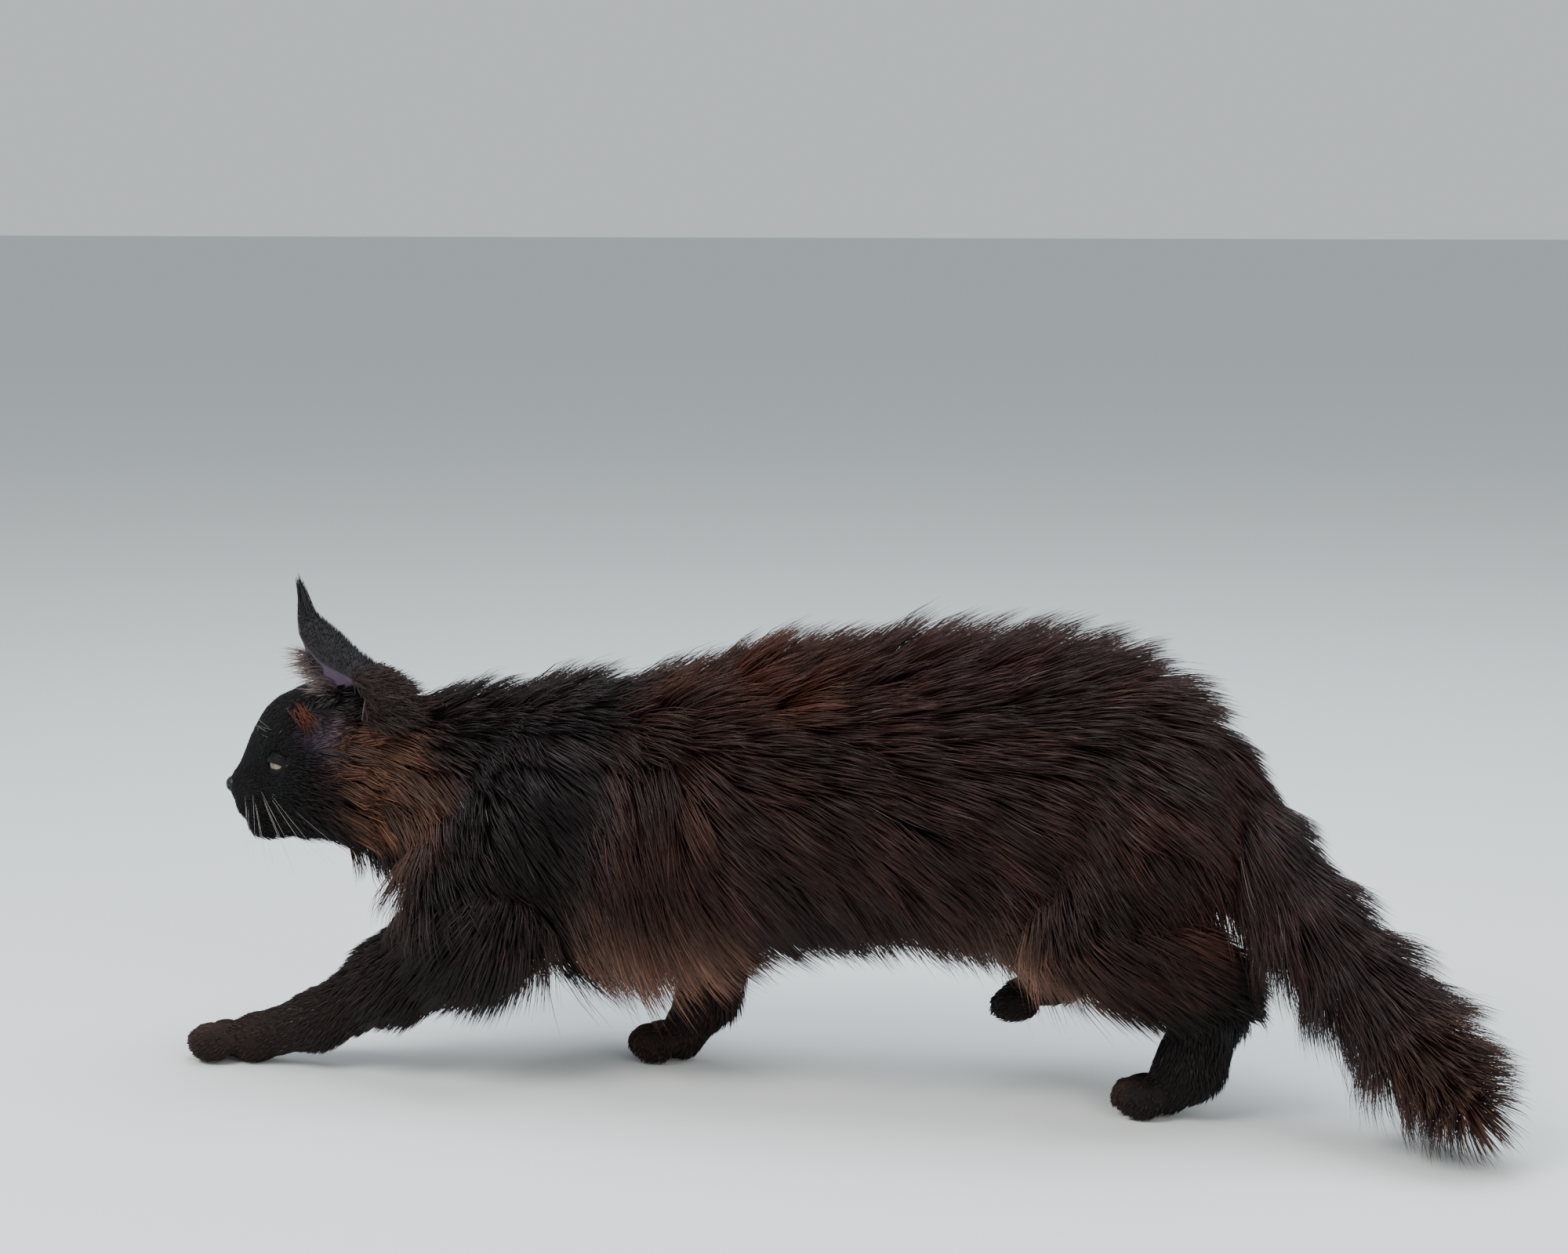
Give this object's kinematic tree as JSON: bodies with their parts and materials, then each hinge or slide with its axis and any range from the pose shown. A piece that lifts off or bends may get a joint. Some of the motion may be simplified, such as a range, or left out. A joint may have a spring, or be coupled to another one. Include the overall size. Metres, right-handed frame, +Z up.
{
  "type": "maine coon cat",
  "caption": "Life-size long-haired maine coon cat in a low slinking walk, with tufted ears, a ruff and a bushy tail hung down to the floor.",
  "frame": {"origin": "on the floor under the middle of the whole cat", "axes": "+X from the nose to the tail, +Y to the cat's right, +Z up"},
  "size_m": [0.8257, 0.2229, 0.3065],
  "materials": {
    "body_coat": "long silky dark chocolate fur with red-brown lights",
    "face_coat": "short near-black fur",
    "leg_coat": "short near-black fur with brown edges",
    "tail_coat": "long loose dark brown fur, red-brown at the end",
    "ear": "thin grey-lavender skin with fine hair",
    "eye": "wet, pale amber",
    "nose_leather": "smooth, slightly damp"
  },
  "bodies": {
    "root": {"head": "face_coat", "nose": "nose_leather", "eye_left": "eye", "eye_right": "eye", "ear_left": "ear", "ear_right": "ear", "neck": "body_coat", "chest": "body_coat", "belly": "body_coat", "rump": "body_coat", "leg_front_left": "leg_coat", "leg_front_right": "leg_coat", "leg_rear_left": "leg_coat", "leg_rear_right": "leg_coat", "tail_base": "tail_coat", "tail_middle": "tail_coat", "tail_tip": "tail_coat"}
  },
  "joints": []
}
